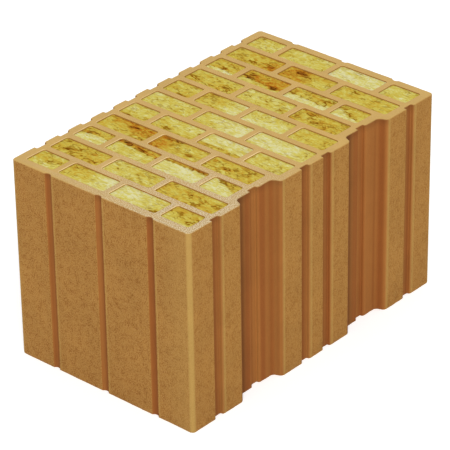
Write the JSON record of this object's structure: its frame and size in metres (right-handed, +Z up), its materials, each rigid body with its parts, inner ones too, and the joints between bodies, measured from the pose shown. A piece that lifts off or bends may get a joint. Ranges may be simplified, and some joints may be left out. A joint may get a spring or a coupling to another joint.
{
  "type": "wool-filled hollow clay block",
  "caption": "Large vertically perforated fired clay wall block with mineral wool slabs filling its cells, grooved faces and tongue pockets on one long face.",
  "frame": {"origin": "middle of the bottom bed face", "axes": "+X towards the long face with the tongue pockets, +Y along the block, +Z up along the cells"},
  "size_m": [0.248, 0.4, 0.238],
  "materials": {
    "fired_clay": "matte fired clay",
    "mineral_wool": "matte fibre wool"
  },
  "bodies": {
    "root": {"clay_block": "fired_clay", "wool_row_01_cell_1": "mineral_wool", "wool_row_01_cell_2": "mineral_wool", "wool_row_01_cell_3": "mineral_wool", "wool_row_01_cell_4": "mineral_wool", "wool_row_02_cell_1": "mineral_wool", "wool_row_02_cell_2": "mineral_wool", "wool_row_02_cell_3": "mineral_wool", "wool_row_03_cell_1": "mineral_wool", "wool_row_03_cell_2": "mineral_wool", "wool_row_03_cell_3": "mineral_wool", "wool_row_03_cell_4": "mineral_wool", "wool_row_04_cell_1": "mineral_wool", "wool_row_04_cell_2": "mineral_wool", "wool_row_04_cell_3": "mineral_wool", "wool_row_05_cell_1": "mineral_wool", "wool_row_05_cell_2": "mineral_wool", "wool_row_05_cell_3": "mineral_wool", "wool_row_05_cell_4": "mineral_wool", "wool_row_06_cell_1": "mineral_wool", "wool_row_06_cell_2": "mineral_wool", "wool_row_06_cell_3": "mineral_wool", "wool_row_07_cell_1": "mineral_wool", "wool_row_07_cell_2": "mineral_wool", "wool_row_07_cell_3": "mineral_wool", "wool_row_07_cell_4": "mineral_wool", "wool_row_08_cell_1": "mineral_wool", "wool_row_08_cell_2": "mineral_wool", "wool_row_08_cell_3": "mineral_wool", "wool_row_09_cell_1": "mineral_wool", "wool_row_09_cell_2": "mineral_wool", "wool_row_09_cell_3": "mineral_wool", "wool_row_09_cell_4": "mineral_wool", "wool_row_10_cell_1": "mineral_wool", "wool_row_10_cell_2": "mineral_wool", "wool_row_10_cell_3": "mineral_wool", "wool_row_11_cell_1": "mineral_wool", "wool_row_11_cell_2": "mineral_wool", "wool_row_11_cell_3": "mineral_wool", "wool_row_11_cell_4": "mineral_wool"}
  },
  "joints": []
}
